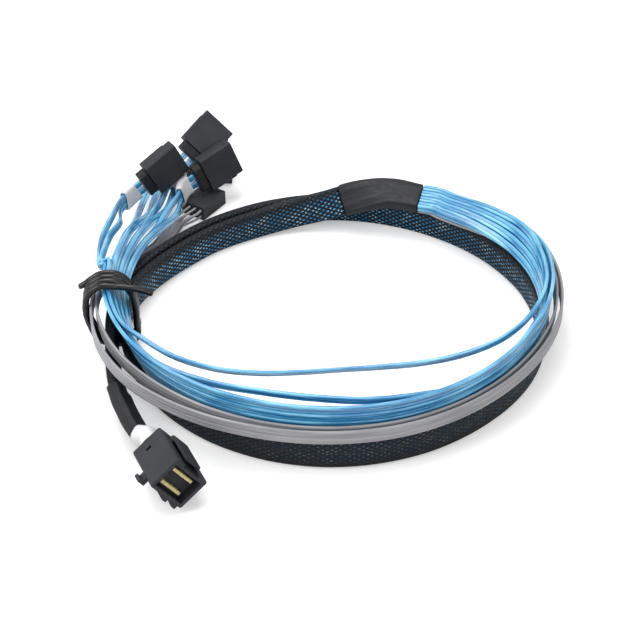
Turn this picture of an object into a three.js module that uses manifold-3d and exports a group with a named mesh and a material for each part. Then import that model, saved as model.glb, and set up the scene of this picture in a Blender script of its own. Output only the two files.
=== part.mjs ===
// Breakout cable: one high-density host plug, a flat braided sleeve, eight flat leads to four
// drive plugs, and a grey ribbon to a small sideband plug, coiled and tied for packing.
// Millimetres, +Z up, the floor at Z = 0.

import * as THREE from 'three';
import * as BufferGeometryUtils from 'three/addons/utils/BufferGeometryUtils.js';
import Module from 'manifold-3d';

const wasm = await Module();
wasm.setup();

// Clearances
const gap = 0.3;              // between pieces that touch on the real cable
const overrun = 1;            // how far a cutting tool passes the face that it cuts

// Flat cords
const sleeveWidth = 11.0;
const sleeveThick = 3.8;
const leadWidth = 2.6;
const leadThick = 1.3;
const wirePitch = 1.27;       // grey ribbon
const ribbonThick = 0.95;
const wiresPerRibbon = 4;
const layerPitch = 1.66;      // between the two layers of leads
const rowPitch = 2.9;         // between the four rows of leads
const leadStep = 9;           // length of one straight step along a lead
const tailLength = 40;        // the last part of each lead takes shorter steps
const tailStep = 4;
const sleeveStep = 9.5;

// Heat-shrunk boots
const bootWall = 0.45;
const hostBootLength = 33;
const breakoutBootLength = 29;

// Host plug: X across the cards, Y towards the latch, Z towards the mouth
const hostWidth = 13.9;
const hostHeight = 11.3;
const hostLength = 17.8;
const hostWall = 1.1;
const latchWall = 1.7;        // the wall under the latch is thicker
const mouthDepth = 15.6;
const hostEdge = 0.5;         // chamfer along the plug's long edges
const cardWidth = 8.2;
const cardThick = 1.0;
const cardLength = 12;
const cardSpacing = 5.0;
const cardSetback = 1.6;      // card edges lie this far inside the mouth
const insertDepth = 2.6;      // front of the insert, behind the mouth
const latchWidth = 6.4;
const latchThick = 1.0;
const latchLength = 13.2;
const latchSetback = 2.2;
const latchPocket = 0.9;      // channel in the housing below the arm
const latchStand = 1.6;       // outer face of the arm above the housing
const latchRoot = 0.8;        // half the length of the foot that it swings on
const windowSize = [2.0, 4.6];

// Drive plug: X across the contacts, Y through the thickness, Z towards the drive
const driveWidth = 14.0;
const driveThick = 5.6;
const driveLength = 14.0;
const collarLength = 3.0;     // thinner band at the mating end
const collarStep = 0.3;
const slotWidth = 10.6;
const slotThick = 2.3;
const slotDepth = 7.0;
const keyWidth = 1.3;         // the short leg of the L-shaped slot
const keyDepth = 1.3;
const contactCount = 7;
const contactPitch = 1.27;
const contactWidth = 0.7;
const contactThick = 0.25;
const carrierThick = 1.0;
const reliefWidth = 11.0;
const reliefThick = 4.6;
const reliefLength = 3.6;
const leadSpread = 3.2;       // between the two leads that enter one drive plug

// Sideband plug
const sidePitch = 2.54;
const sideColumns = 4;
const sideRows = 2;
const sideLength = 14;
const sideSocket = 1.9;
const sideContactWall = 0.25;
const sideSocketDepth = 9;

// Labels
const labelLength = 8;
const labelWall = 0.3;
const labelEase = 0.45;       // between a label and what it is wrapped round
const labelSetbacks = [6, 2.5, 2.5, 11.5];   // from each strain relief to its label
const hostLabelLength = 9;

// Wire tie
const tieWire = 2.0;
const tiePitch = 2.35;
const tieTurns = 3;
const tieAngle = 185;

// The coil's middle, from the frame's origin
const coilMiddle = new THREE.Vector3(5.44, -8.05, -0.04);

const plastic = (colour, roughness) => new THREE.MeshStandardMaterial({
  color: colour,
  roughness,
  metalness: 0,
});
const housingBlack = plastic(0x2c2c30, 0.55);
const reliefBlack = plastic(0x1b1b1d, 0.6);
const sleeveBlack = plastic(0x141518, 0.7);
const bootBlack = plastic(0x1a1a1c, 0.6);
const leadBlue = plastic(0x5cb0dc, 0.35);
const ribbonGrey = plastic(0x9a9a9e, 0.5);
const tieBlack = plastic(0x0c0c0e, 0.3);
const labelWhite = plastic(0xd9d9d8, 0.6);
const cardTan = plastic(0xc9bd84, 0.5);
const contactGold = new THREE.MeshStandardMaterial({ color: 0xc9a14a, roughness: 0.35, metalness: 1 });

const cable = new THREE.Group();
cable.position.copy(coilMiddle);

function addPiece(name, geometry, material, parent = cable) {
  const mesh = new THREE.Mesh(geometry, material);
  mesh.name = name;
  parent.add(mesh);
  return mesh;
}

// Solids: three.js shapes joined and cut

function solidOf(geometry) {
  const bare = geometry.clone();
  bare.deleteAttribute('normal');
  bare.deleteAttribute('uv');
  const merged = BufferGeometryUtils.mergeVertices(bare, 1e-4);
  const vertProperties = new Float32Array(merged.attributes.position.array);
  const triVerts = new Uint32Array(merged.index.array);
  return new wasm.Manifold(new wasm.Mesh({ numProp: 3, vertProperties, triVerts }));
}

function geometryOf(solid) {
  const mesh = solid.getMesh();
  const geometry = new THREE.BufferGeometry();
  geometry.setAttribute('position', new THREE.BufferAttribute(new Float32Array(mesh.vertProperties), 3));
  geometry.setIndex(new THREE.BufferAttribute(new Uint32Array(mesh.triVerts), 1));
  geometry.computeVertexNormals();
  return geometry;
}

function block(width, height, length, x, y, z) {
  const box = new THREE.BoxGeometry(width, height, length);
  box.translate(x, y, z);
  return box;
}

// Rectangle with its corners cut by "edge"
function chamferedOutline(width, height, edge) {
  const a = width / 2;
  const b = height / 2;
  const shape = new THREE.Shape();
  shape.moveTo(-a + edge, -b);
  shape.lineTo(a - edge, -b);
  shape.lineTo(a, -b + edge);
  shape.lineTo(a, b - edge);
  shape.lineTo(a - edge, b);
  shape.lineTo(-a + edge, b);
  shape.lineTo(-a, b - edge);
  shape.lineTo(-a, -b + edge);
  shape.closePath();
  return shape;
}

// A flat cord's outline, thickness along X and width along Y, its edges rounded in "sides" steps
function cordOutline(width, thick, sides) {
  const points = [];
  for (let i = 0; i < sides; i += 1) {
    const turn = (i + 0.5) * 2 * Math.PI / sides;
    const across = Math.cos(turn);
    const along = Math.sin(turn);
    const x = Math.sign(across) * Math.min(1, Math.abs(across) * 1.35) * thick / 2;
    const y = Math.sign(along) * Math.pow(Math.abs(along), 0.6) * width / 2;
    points.push(new THREE.Vector2(x, y));
  }
  return new THREE.Shape(points);
}

// Grey ribbon: wires side by side, with a shallow groove between them
function ribbonOutline() {
  const half = wiresPerRibbon * wirePitch / 2;
  const crest = ribbonThick / 2;
  const groove = crest * 0.62;
  const right = [];
  const left = [];
  for (let i = 0; i < wiresPerRibbon; i += 1) {
    const middle = -half + (i + 0.5) * wirePitch;
    right.push(new THREE.Vector2(crest, middle));
    left.unshift(new THREE.Vector2(-crest, middle));
    if (i < wiresPerRibbon - 1) {
      right.push(new THREE.Vector2(groove, middle + wirePitch / 2));
      left.unshift(new THREE.Vector2(-groove, middle + wirePitch / 2));
    }
  }
  const top = new THREE.Vector2(0, half);
  const bottom = new THREE.Vector2(0, -half);
  return new THREE.Shape([bottom, ...right, top, ...left]);
}

// Routes
// A station is [angle round the coil, radius, height, lean]: degrees and millimetres, anticlockwise
// from +X, for the middle of a cord's section. Lean 0 stands the section on edge, and a positive
// lean tips its top outwards.

const toRadians = THREE.MathUtils.degToRad;

function stationFrame([angle, radius, height, lean]) {
  const outward = new THREE.Vector3(Math.cos(toRadians(angle)), Math.sin(toRadians(angle)), 0);
  const up = new THREE.Vector3(0, 0, 1);
  const position = outward.clone().multiplyScalar(radius).setZ(height);
  const c = Math.cos(toRadians(lean));
  const s = Math.sin(toRadians(lean));
  const width = up.clone().multiplyScalar(c).addScaledVector(outward, s);
  const thick = outward.clone().multiplyScalar(c).addScaledVector(up, -s);
  return { position, width, thick };
}

// The point "across" mm along the section's width and "through" mm along its thickness
function besides(station, across, through) {
  const frame = stationFrame(station);
  frame.position.addScaledVector(frame.width, across).addScaledVector(frame.thick, through);
  return { position: frame.position, width: frame.width };
}

class Route {
  constructor(marks) {
    this.marks = marks;
    this.curve = new THREE.CatmullRomCurve3(marks.map((mark) => mark.position));
    this.curve.arcLengthDivisions = marks.length * 24;
    this.length = this.curve.getLength();
  }

  // Position, tangent, width and thickness directions at a distance from the start
  at(distance) {
    const share = THREE.MathUtils.clamp(distance / this.length, 0, 1);
    const t = this.curve.getUtoTmapping(share);
    const position = this.curve.getPoint(t);
    const tangent = this.curve.getTangent(t);
    const place = t * (this.marks.length - 1);
    const index = Math.min(Math.floor(place), this.marks.length - 2);
    const width = this.marks[index].width.clone().lerp(this.marks[index + 1].width, place - index);
    width.addScaledVector(tangent, -width.dot(tangent)).normalize();
    const thick = new THREE.Vector3().crossVectors(width, tangent);
    return { position, tangent, width, thick };
  }
}

// Sections of a route at chosen distances, as the path of an extrusion: outline X is the
// thickness, Y the width
class Stretch extends THREE.Curve {
  constructor(route, distances) {
    super();
    this.frames = distances.map((distance) => route.at(distance));
  }

  getSpacedPoints() {
    return this.frames.map((frame) => frame.position);
  }

  computeFrenetFrames() {
    return {
      tangents: this.frames.map((frame) => frame.tangent),
      normals: this.frames.map((frame) => frame.thick),
      binormals: this.frames.map((frame) => frame.width),
    };
  }
}

function spaced(from, to, step) {
  const steps = Math.max(1, Math.round((to - from) / step));
  return Array.from({ length: steps + 1 }, (_, i) => THREE.MathUtils.lerp(from, to, i / steps));
}

function sweep(route, outline, distances) {
  return new THREE.ExtrudeGeometry(outline, {
    steps: distances.length - 1,
    extrudePath: new Stretch(route, distances),
  });
}

// Plugs lie where the coil's own spring holds them: the middle of the mating face, the compass
// heading and climb of the mating direction, and the roll about it, in degrees.

const hostPose = { at: [-46.5, -85.9, 10.9], heading: -67, climb: 7, roll: -126 };
const drivePoses = [
  { at: [-43.8, 96.1, 25.2], heading: 42, climb: 30, roll: -47 },
  { at: [-38.0, 86.0, 17.0], heading: 34, climb: 17, roll: -78 },
  { at: [-57.9, 78.0, 22.0], heading: 35, climb: 25, roll: -87 },
  { at: [-39.5, 98.05, 2.9], heading: 0, climb: 0, roll: 0 },
];
const sidePose = { at: [-45.6, 81.0, 3.0], heading: 57, climb: 0, roll: 0 };

function poseGroup(pose) {
  const heading = toRadians(pose.heading);
  const climb = toRadians(pose.climb);
  const roll = toRadians(pose.roll);
  const mating = new THREE.Vector3(
    Math.cos(heading) * Math.cos(climb),
    Math.sin(heading) * Math.cos(climb),
    Math.sin(climb),
  );
  const level = new THREE.Vector3().crossVectors(mating, new THREE.Vector3(0, 0, 1)).normalize();
  const rise = new THREE.Vector3().crossVectors(level, mating);
  const across = level.multiplyScalar(Math.cos(roll)).addScaledVector(rise, Math.sin(roll));
  const through = new THREE.Vector3().crossVectors(mating, across);
  const group = new THREE.Group();
  const turn = new THREE.Matrix4().makeBasis(across, through, mating);
  group.quaternion.setFromRotationMatrix(turn);
  group.position.set(...pose.at);
  group.updateMatrix();
  cable.add(group);
  return group;
}

// A point given in a plug's own frame, as a mark on a cord's route
function markAt(group, x, y, z, widthAxis = [1, 0, 0]) {
  const position = new THREE.Vector3(x, y, z).applyMatrix4(group.matrix);
  const width = new THREE.Vector3(...widthAxis).applyQuaternion(group.quaternion);
  return { position, width };
}

const hostGroup = poseGroup(hostPose);
const driveGroups = drivePoses.map(poseGroup);
const sideGroup = poseGroup(sidePose);

// Sleeve and boots: from the host plug through the tie, once round, and on to the breakout

const trunkStations = [
  [226, 85.4, 6.6, 34],
  [219, 82.9, 6.8, 30],
  [211, 80.2, 7.0, 24],
  [203, 77.8, 7.4, 14],
  [194, 75.8, 8.2, 4],
  [185, 75.1, 8.4, 0],
  [175, 74.4, 8.2, 0],
  [163, 72.6, 6.6, 0],
  [149, 70.2, 5.7, 0],
  [132, 68.4, 5.6, 0],
  [112, 67.6, 5.6, 0],
  [92, 67.6, 5.6, 0],
  [74, 67.4, 5.6, 0],
  [55, 67.6, 5.6, 0],
  [36, 68.6, 5.6, 0],
  [16, 69.8, 5.6, 0],
  [-4, 69.8, 5.6, 0],
  [-24, 68.2, 5.6, 0],
  [-44, 66.4, 5.6, 0],
  [-66, 66.0, 5.6, 0],
  [-88, 66.4, 5.6, 0],
  [-108, 67.0, 5.6, 0],
  [-128, 67.8, 5.6, 0],
  [-148, 69.0, 6.0, 0],
  [-164, 70.4, 7.8, 0],
  [-175, 70.8, 8.4, 0],
  [-186, 70.2, 8.2, 0],
  [-198, 68.2, 6.6, 0],
  [-212, 65.6, 5.7, 0],
  [-228, 64.0, 5.6, 0],
  [-244, 63.2, 5.7, 4],
  [-257, 62.8, 7.4, 10],
  [-268, 62.6, 10.0, 22],
  [-278, 63.2, 13.6, 46],
  [-288, 65.2, 15.4, 68],
  [-298, 66.8, 15.0, 78],
];
const hostEntry = -hostLength - gap;
const trunk = new Route([
  markAt(hostGroup, 0, 0, hostEntry, [-1, 0, 0]),
  markAt(hostGroup, 0, 0, hostEntry - 5, [-1, 0, 0]),
  ...trunkStations.map((station) => besides(station, 0, 0)),
]);
const bootWidth = sleeveWidth + 2 * bootWall;
const bootThick = sleeveThick + 2 * bootWall + 0.4;
const sleeveStart = hostBootLength + gap;
const sleeveEnd = trunk.length - breakoutBootLength - gap;

addPiece('host_boot', sweep(trunk, cordOutline(bootWidth, bootThick, 12), spaced(0, hostBootLength, 6)), bootBlack);
addPiece(
  'braided_sleeve',
  sweep(trunk, cordOutline(sleeveWidth, sleeveThick, 12), spaced(sleeveStart, sleeveEnd, sleeveStep)),
  sleeveBlack,
);
addPiece(
  'breakout_boot',
  sweep(
    trunk,
    cordOutline(bootWidth, bootThick, 12),
    spaced(trunk.length - breakoutBootLength, trunk.length, 5),
  ),
  bootBlack,
);

// Leads: four rows of two in the coil, then a pair to each drive plug

const bundleStations = [
  [-308, 66.9, 16.2, 80],
  [-320, 67.9, 17.3, 72],
  [-334, 69.9, 18.2, 50],
  [-348, 70.9, 18.6, 24],
  [-364, 70.2, 18.3, 6],
  [-380, 67.9, 17.9, 0],
  [-398, 65.7, 17.4, 0],
  [-416, 64.6, 17.3, 0],
  [-434, 64.4, 17.3, 0],
  [-452, 64.6, 17.3, 0],
  [-470, 65.8, 17.3, 0],
  [-488, 68.2, 17.6, 2],
  [-505, 70.6, 18.1, 10],
  [-520, 72.0, 18.9, 24],
  [-535, 73.2, 19.3, 36],
  [-548, 75.0, 18.4, 42],
];
const rows = [-1.5, -0.5, 0.5, 1.5].map((row) => row * rowPitch);
const layers = [-layerPitch / 2, layerPitch / 2];

// Two leads leave the bundle inside the coil: [angle, radius, height, lean]
const loneLead = [
  [-346, 71.2, 23.0, 28],
  [-362, 69.6, 22.8, 14],
  [-375, 66.0, 21.4, 8],
  [-387, 60.6, 19.4, 8],
  [-399, 53.2, 17.4, 14],
  [-413, 45.4, 15.8, 20],
  [-430, 39.6, 14.8, 26],
  [-448, 38.0, 14.4, 30],
  [-466, 41.4, 14.8, 32],
  [-481, 48.8, 16.2, 32],
  [-492, 57.0, 18.4, 30],
  [-502, 64.6, 21.2, 26],
  [-512, 69.6, 23.0, 24],
];
const looseLead = [
  [-421, 62.9, 19.4, 0],
  [-440, 59.8, 19.8, 2],
  [-458, 58.2, 19.8, 6],
  [-474, 59.6, 19.6, 10],
  [-488, 63.8, 19.5, 10],
];

// Tails after the tie, for the middle of each pair: the last two numbers are half the distance
// between its leads, across their width and through their thickness
const tailStations = [
  [
    [157, 76.4, 16.6, 46, 0, 0.83],
    [145, 81.2, 13.4, 44, 0.3, 0.83],
    [138.5, 86.6, 9.8, 42, 1.2, 0.83],
    [133.2, 92.6, 7.1, 44, 1.6, 0.5],
    [128.8, 98.5, 8.3, 46, 1.6, 0],
  ],
  [
    [157, 74.0, 14.4, 46, 0, 0.83],
    [145, 77.2, 12.0, 38, 0.3, 0.83],
    [136, 82.4, 10.6, 24, 1.6, 0.83],
    [130.5, 88.6, 9.6, 12, 1.6, 0],
  ],
  [
    [174, 79.4, 21.6, 40, 0, 1.1],
    [161, 84.6, 19.2, 28, 0.3, 1.25],
    [150, 90.4, 15.6, 16, 1.6, 0.83],
    [143.5, 97.4, 12.6, 6, 1.6, 0],
  ],
  [
    [157, 79.4, 18.2, 46, 0, 0.83],
    [146.5, 85.6, 12.4, 54, 0.4, 0.83],
    [138, 95.4, 5.6, 66, 1.7, 0.83],
    [130, 107.6, 3.2, 82, 1.6, 0],
    [125.6, 113.4, 2.7, 88, 1.6, 0],
  ],
];
// Row of the bundle that each drive plug's pair comes from
const rowOfPlug = [1, 0, 3, 2];

// The middle of each pair after the tie, squared to its own direction of travel
const pairMiddles = driveGroups.map((group, plug) => {
  const entry = -driveLength - reliefLength - gap;
  const last = bundleStations.length - 1;
  return new Route([
    besides(bundleStations[last], rows[rowOfPlug[plug]], 0),
    ...tailStations[plug].map((station) => besides(station, 0, 0)),
    markAt(group, 0, 0, entry - 5, [-1, 0, 0]),
    markAt(group, 0, 0, entry, [-1, 0, 0]),
  ]);
});

// The mark at "index" of a pair's middle, moved along its section
function besidePair(middle, index, across, through) {
  const { position, width } = middle.marks[index];
  const tangent = middle.curve.getTangent(index / (middle.marks.length - 1));
  const level = width.clone().addScaledVector(tangent, -width.dot(tangent)).normalize();
  const thick = new THREE.Vector3().crossVectors(level, tangent);
  const moved = position.clone().addScaledVector(level, across).addScaledVector(thick, through);
  return { position: moved, width: level };
}

function leadMarks(plug, side) {
  const row = rows[rowOfPlug[plug]];
  const layer = layers[side];
  const sign = side === 0 ? -1 : 1;
  const start = trunk.at(trunk.length);
  const marks = [0, 6].map((distance) => ({
    position: start.position.clone()
      .addScaledVector(start.tangent, gap + distance)
      .addScaledVector(start.width, row)
      .addScaledVector(start.thick, layer - ribbonThick / 2),
    width: start.width,
  }));
  const own = side === 0 && plug === 2 ? loneLead : side === 0 && plug === 3 ? looseLead : [];
  const first = own.length ? own[0][0] : -Infinity;
  const last = own.length ? own[own.length - 1][0] : -Infinity;
  for (const station of bundleStations) {
    if (station[0] > first + 4 || station[0] < last - 4) marks.push(besides(station, row, layer));
    if (own.length && station === bundleStations.filter((s) => s[0] > first + 4).pop()) {
      own.forEach((place) => marks.push(besides(place, 0, 0)));
    }
  }
  tailStations[plug].forEach(([, , , , across, through], index) => {
    marks.push(besidePair(pairMiddles[plug], index + 1, sign * across, sign * through));
  });
  for (const index of [-2, -1]) {
    const place = pairMiddles[plug].marks.length + index;
    marks.push(besidePair(pairMiddles[plug], place, sign * leadSpread / 2, 0));
  }
  let previous = marks[0].width;
  for (const mark of marks) {
    if (mark.width.dot(previous) < 0) mark.width = mark.width.clone().negate();
    previous = mark.width;
  }
  return marks;
}

function leadDistances(route) {
  const bend = route.length - tailLength;
  return [...spaced(0, bend, leadStep), ...spaced(bend, route.length, tailStep).slice(1)];
}

for (let plug = 0; plug < driveGroups.length; plug += 1) {
  for (const side of [0, 1]) {
    const route = new Route(leadMarks(plug, side));
    addPiece(
      `lead_${plug * 2 + side + 1}`,
      sweep(route, cordOutline(leadWidth, leadThick, 8), leadDistances(route)),
      leadBlue,
    );
  }
}

// Labels: a wrapped band round each pair of leads, and one round the host plug's boot

function bandOutline(outline, hole) {
  outline.holes.push(hole);
  return outline;
}

pairMiddles.forEach((middle, plug) => {
  const width = leadSpread + leadWidth + 2 * labelEase;
  const thick = leadThick + 2 * labelEase;
  const band = bandOutline(
    chamferedOutline(thick + 2 * labelWall, width + 2 * labelWall, labelWall),
    chamferedOutline(thick, width, 0.1),
  );
  const end = middle.length - labelSetbacks[plug];
  addPiece(`label_${plug + 1}`, sweep(middle, band, spaced(end - labelLength, end, tailStep)), labelWhite);
});

const hostBand = bandOutline(
  cordOutline(bootWidth + 2 * (labelEase + labelWall), bootThick + 2 * (labelEase + labelWall), 12),
  cordOutline(bootWidth + 2 * labelEase, bootThick + 2 * labelEase, 12),
);
addPiece('host_label', sweep(trunk, hostBand, spaced(gap, gap + hostLabelLength, 3)), labelWhite);

// Grey ribbons, outside the leads

const ribbonStations = [
  [
    [-308, 64.3, 13.3, 80],
    [-320, 66.2, 13.9, 70],
    [-334, 71.4, 15.2, 42],
    [-348, 74.6, 15.6, 14],
    [-364, 73.4, 14.6, 4],
    [-380, 70.6, 14.2, 0],
    [-398, 68.3, 14.2, 0],
    [-416, 67.2, 14.2, 0],
    [-434, 67.0, 14.2, 0],
    [-452, 67.4, 14.2, 0],
    [-470, 68.8, 14.3, 0],
    [-488, 71.8, 15.2, 0],
    [-505, 75.6, 16.6, 0],
    [-520, 78.2, 16.9, 0],
    [-535, 79.6, 16.2, 0],
    [-548, 78.6, 13.4, 0],
    [-560, 76.2, 9.4, 0],
    [-572, 75.6, 5.4, 12],
  ],
  [
    [-308, 69.7, 14.2, 80],
    [-320, 71.7, 15.5, 70],
    [-334, 75.0, 16.4, 44],
    [-348, 76.4, 15.8, 12],
    [-364, 75.4, 14.4, -2],
    [-380, 72.6, 13.9, -4],
    [-398, 70.0, 13.9, 0],
    [-416, 68.8, 13.9, 0],
    [-434, 68.7, 13.9, 0],
    [-452, 69.2, 13.9, 0],
    [-470, 70.9, 14.0, 0],
    [-488, 75.0, 14.8, 0],
    [-505, 79.6, 16.0, 0],
    [-520, 81.4, 16.3, 0],
    [-535, 81.2, 15.8, 0],
    [-548, 80.2, 13.0, 0],
    [-560, 77.9, 9.0, 0],
    [-572, 77.6, 4.6, 12],
  ],
];
const ribbonLayer = (layerPitch + leadThick) / 2 + gap;
const sideWidth = sideColumns * sidePitch;
const sideHeight = sideRows * sidePitch + 0.4;
const ribbonEnd = 9;          // the ribbon splits into wires this far behind the plug

function ribbonMarks(index) {
  const sign = index === 0 ? -1 : 1;
  const start = trunk.at(trunk.length);
  const marks = [0, 5].map((distance) => ({
    position: start.position.clone()
      .addScaledVector(start.tangent, gap + distance)
      .addScaledVector(start.width, sign * (wiresPerRibbon * wirePitch + gap) / 2)
      .addScaledVector(start.thick, ribbonLayer),
    width: start.width,
  }));
  ribbonStations[index].forEach((station) => marks.push(besides(station, 0, 0)));
  for (const behind of [ribbonEnd, gap]) {
    marks.push(markAt(sideGroup, 0, sign * sidePitch / 2, -sideLength - behind, [-1, 0, 0]));
  }
  let previous = marks[0].width;
  for (const mark of marks) {
    if (mark.width.dot(previous) < 0) mark.width = mark.width.clone().negate();
    previous = mark.width;
  }
  return marks;
}

[0, 1].forEach((index) => {
  const route = new Route(ribbonMarks(index));
  addPiece(`ribbon_${index + 1}`, sweep(route, ribbonOutline(), leadDistances(route)), ribbonGrey);
});

// Wire tie: [radius, height] round the section at the tie, wound three times

const tieLoop = [
  [67.0, 8.4],
  [66.9, 14.4],
  [68.2, 21.6],
  [72.0, 25.6],
  [77.4, 26.0],
  [81.8, 22.4],
  [83.2, 16.4],
  [82.2, 9.4],
  [79.6, 3.2],
  [74.8, 1.35],
  [68.9, 1.4],
  [66.9, 4.2],
];
const tieStub = [[84.8, 21.6, 0.4], [87.0, 22.0, 0.2]];

function tiePoint(radius, height, along) {
  const angle = toRadians(tieAngle);
  const outward = new THREE.Vector3(Math.cos(angle), Math.sin(angle), 0);
  const forward = new THREE.Vector3(Math.sin(angle), -Math.cos(angle), 0);
  return outward.multiplyScalar(radius).addScaledVector(forward, along).setZ(height);
}

const tiePoints = [];
const tieFirst = -tieTurns * tiePitch / 2;
for (let i = 0; i < tieTurns * tieLoop.length + 5; i += 1) {
  const [radius, height] = tieLoop[i % tieLoop.length];
  tiePoints.push(tiePoint(radius, height, tieFirst + i * tiePitch / tieLoop.length));
}
const tieEnd = tieFirst + (tieTurns * tieLoop.length + 5) * tiePitch / tieLoop.length;
tieStub.forEach(([radius, height, along]) => tiePoints.push(tiePoint(radius, height, tieEnd + along)));
const tieCurve = new THREE.CatmullRomCurve3(tiePoints);
const wireOutline = new THREE.Shape(new THREE.EllipseCurve(0, 0, tieWire / 2, tieWire / 2).getPoints(8).slice(0, 8));
addPiece(
  'wire_tie',
  new THREE.ExtrudeGeometry(wireOutline, { steps: tiePoints.length + 8, extrudePath: tieCurve }),
  tieBlack,
);

// Host plug

function hostHousing() {
  const outline = chamferedOutline(hostWidth, hostHeight, hostEdge);
  const body = new THREE.ExtrudeGeometry(outline, { depth: hostLength, bevelEnabled: false });
  body.translate(0, 0, -hostLength);
  const mouthHeight = hostHeight - hostWall - latchWall;
  const mouthMiddle = (hostWall - latchWall) / 2;
  const mouth = block(
    hostWidth - 2 * hostWall, mouthHeight, mouthDepth + overrun,
    0, mouthMiddle, (overrun - mouthDepth) / 2,
  );
  const channel = block(
    latchWidth + 2 * gap, latchPocket + overrun, latchLength + latchSetback + gap + overrun,
    0, hostHeight / 2 - latchPocket + (latchPocket + overrun) / 2,
    (overrun - latchLength - latchSetback - gap) / 2,
  );
  const window = block(
    hostWall + 2 * overrun, windowSize[0], windowSize[0] / 2,
    -hostWidth / 2 + hostWall / 2, -0.4, -hostLength + 4,
  );
  let solid = solidOf(body).subtract(solidOf(mouth)).subtract(solidOf(channel)).subtract(solidOf(window));

  // Hooked lug and two keys on the side away from the latch
  const lugStem = block(1.4, 1.6 + 0.2, 3.2, -hostWidth / 2 + 1.4, -hostHeight / 2 - 0.8 + 0.1, -6.6);
  const lugHook = block(2.6, 1.1, 3.2, -hostWidth / 2 + 0.8, -hostHeight / 2 - 2.0, -6.6);
  solid = solid.add(solidOf(lugStem)).add(solidOf(lugHook));
  for (const x of [1.0, 5.2]) {
    const key = block(1.6, 1.4 + 0.2, 5.2, x, -hostHeight / 2 - 0.7 + 0.1, -3.2);
    solid = solid.add(solidOf(key));
  }
  return geometryOf(solid);
}

function hostInsert() {
  const width = hostWidth - 2 * hostWall - 2 * gap;
  const height = hostHeight - hostWall - latchWall - 2 * gap;
  const middle = (hostWall - latchWall) / 2;
  const length = mouthDepth - insertDepth - gap;
  let solid = solidOf(block(width, height, length, 0, middle, -insertDepth - length / 2));
  for (const y of [-cardSpacing / 2, cardSpacing / 2]) {
    const slot = block(
      cardWidth + 2 * gap, cardThick + 2 * gap, length,
      0, middle + y, -insertDepth - length / 2 + overrun,
    );
    solid = solid.subtract(solidOf(slot));
  }
  return geometryOf(solid);
}

addPiece('host_housing', hostHousing(), housingBlack, hostGroup);
addPiece('host_insert', hostInsert(), reliefBlack, hostGroup);
[-1, 1].forEach((sign, index) => {
  const card = new THREE.BoxGeometry(cardWidth, cardThick, cardLength);
  const middle = (hostWall - latchWall) / 2;
  const mesh = addPiece(`paddle_card_${index + 1}`, card, cardTan, hostGroup);
  mesh.position.set(0, middle + sign * cardSpacing / 2, -cardSetback - cardLength / 2);
});

// Latch arm: a bar with a turned-up nose, and a round root that the arm swings on
function latchArm() {
  const rear = -latchSetback - latchLength;
  const face = hostHeight / 2;
  const profile = new THREE.Shape();
  profile.moveTo(rear, face - latchPocket + gap);
  profile.lineTo(rear + 2 * latchRoot, face - latchPocket + gap);
  profile.lineTo(rear + 3 * latchRoot, face + latchStand - latchThick);
  profile.lineTo(-latchSetback, face + latchStand - latchThick);
  profile.lineTo(-latchSetback, face + latchStand - 0.3);
  profile.lineTo(-latchSetback - 0.5, face + latchStand);
  profile.lineTo(rear + 0.6, face + latchStand);
  profile.lineTo(rear, face + latchStand - 0.6);
  profile.closePath();
  const arm = new THREE.ExtrudeGeometry(profile, { depth: latchWidth, bevelEnabled: false });
  arm.translate(0, 0, -latchWidth / 2);
  arm.rotateY(-Math.PI / 2);
  return arm;
}
addPiece('host_latch', latchArm(), housingBlack, hostGroup);

// Drive plugs

function driveHousing() {
  const outline = chamferedOutline(driveWidth, driveThick, 0.5);
  const body = new THREE.ExtrudeGeometry(outline, { depth: driveLength - collarLength, bevelEnabled: false });
  body.translate(0, 0, -driveLength);
  const collarOutline = chamferedOutline(driveWidth - 2 * collarStep, driveThick - 2 * collarStep, 0.4);
  const collar = new THREE.ExtrudeGeometry(collarOutline, { depth: collarLength + 0.5, bevelEnabled: false });
  collar.translate(0, 0, -collarLength - 0.5);
  const slot = block(slotWidth, slotThick, slotDepth + overrun, 0, 0.3, (overrun - slotDepth) / 2);
  const key = block(
    keyWidth, keyDepth + 0.2, slotDepth + overrun,
    slotWidth / 2 - keyWidth / 2, 0.3 - slotThick / 2 - keyDepth / 2 + 0.1, (overrun - slotDepth) / 2,
  );
  return geometryOf(solidOf(body).add(solidOf(collar)).subtract(solidOf(slot)).subtract(solidOf(key)));
}

// Carrier on the slot's long wall, with its row of contacts
function driveCarrier() {
  const length = slotDepth - 1;
  const width = contactCount * contactPitch + 0.2;
  const wall = 0.3 + slotThick / 2 - gap;
  const base = block(width, carrierThick, length, 0, wall - carrierThick / 2, -slotDepth + gap + length / 2);
  let solid = solidOf(base);
  for (let i = 0; i < contactCount; i += 1) {
    const x = (i - (contactCount - 1) / 2) * contactPitch;
    const contact = block(
      contactWidth, contactThick + 0.1, length - 0.6,
      x, wall - carrierThick - contactThick / 2 + 0.05, -slotDepth + gap + length / 2,
    );
    solid = solid.add(solidOf(contact));
  }
  return geometryOf(solid);
}

function driveRelief() {
  const outline = chamferedOutline(reliefWidth, reliefThick, 1.1);
  const relief = new THREE.ExtrudeGeometry(outline, { depth: reliefLength - gap, bevelEnabled: false });
  relief.translate(0, 0, -driveLength - reliefLength);
  return relief;
}

driveGroups.forEach((group, index) => {
  addPiece(`drive_plug_${index + 1}`, driveHousing(), housingBlack, group);
  addPiece(`drive_contacts_${index + 1}`, driveCarrier(), contactGold, group);
  addPiece(`drive_relief_${index + 1}`, driveRelief(), reliefBlack, group);
});

// Sideband plug

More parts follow.
